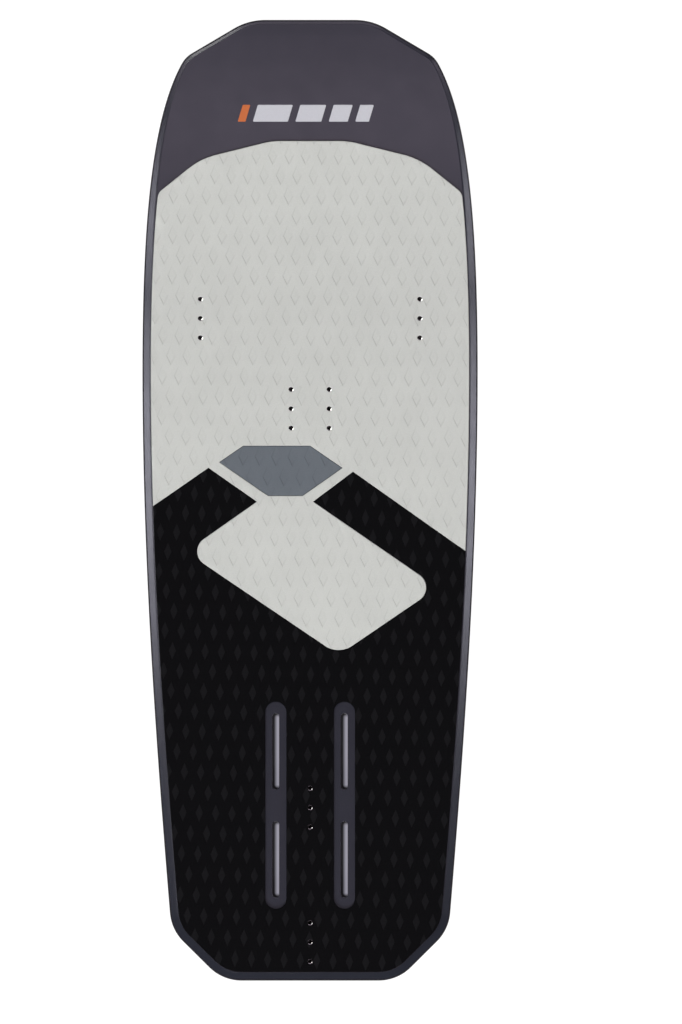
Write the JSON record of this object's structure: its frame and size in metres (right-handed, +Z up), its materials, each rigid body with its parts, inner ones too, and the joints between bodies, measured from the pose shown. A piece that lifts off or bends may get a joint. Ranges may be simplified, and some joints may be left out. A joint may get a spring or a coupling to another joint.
{
  "type": "kiteboard",
  "caption": "Slim kite foil board with a raised nose, bevelled rails, three-tone deck pads, through slots for a mast plate and rows of threaded strap inserts.",
  "frame": {"origin": "on the flat bottom, under the middle of the board's outline", "axes": "+Y along the board towards the nose, +Z up out of the deck, +X to the right when facing the nose"},
  "size_m": [0.44, 1.26, 0.0787],
  "materials": {
    "dark_laminate": "near-black satin paint over a fibre laminate",
    "deck_paint": "satin violet-grey paint over a fibre laminate",
    "core_foam": "shaped closed-cell foam",
    "dense_foam": "high-density closed-cell foam",
    "liner_plastic": "moulded light grey plastic",
    "bush_metal": "machined stainless steel",
    "light_eva": "light grey EVA foam, embossed with diamonds",
    "accent_eva": "blue-grey EVA foam, embossed with diamonds",
    "black_eva": "black EVA foam, embossed with diamonds"
  },
  "bodies": {
    "root": {"hull_shell": "dark_laminate", "deck_skin": "deck_paint", "foam_core": "core_foam", "mast_block": "dense_foam", "slot_liner_left_front": "liner_plastic", "slot_liner_left_rear": "liner_plastic", "slot_liner_right_front": "liner_plastic", "slot_liner_right_rear": "liner_plastic", "insert_block_front_left": "dense_foam", "insert_block_front_right": "dense_foam", "insert_block_centre_left": "dense_foam", "insert_block_centre_right": "dense_foam", "insert_block_tail": "dense_foam", "bush_front_left_1": "bush_metal", "bush_front_left_2": "bush_metal", "bush_front_left_3": "bush_metal", "bush_front_right_1": "bush_metal", "bush_front_right_2": "bush_metal", "bush_front_right_3": "bush_metal", "bush_centre_left_1": "bush_metal", "bush_centre_left_2": "bush_metal", "bush_centre_left_3": "bush_metal", "bush_centre_right_1": "bush_metal", "bush_centre_right_2": "bush_metal", "bush_centre_right_3": "bush_metal", "bush_rear_1": "bush_metal", "bush_rear_2": "bush_metal", "bush_rear_3": "bush_metal", "bush_tail_1": "bush_metal", "bush_tail_2": "bush_metal", "bush_tail_3": "bush_metal", "deck_pad_front": "light_eva", "deck_pad_accent": "accent_eva", "deck_pad_rear": "black_eva"}
  },
  "joints": []
}
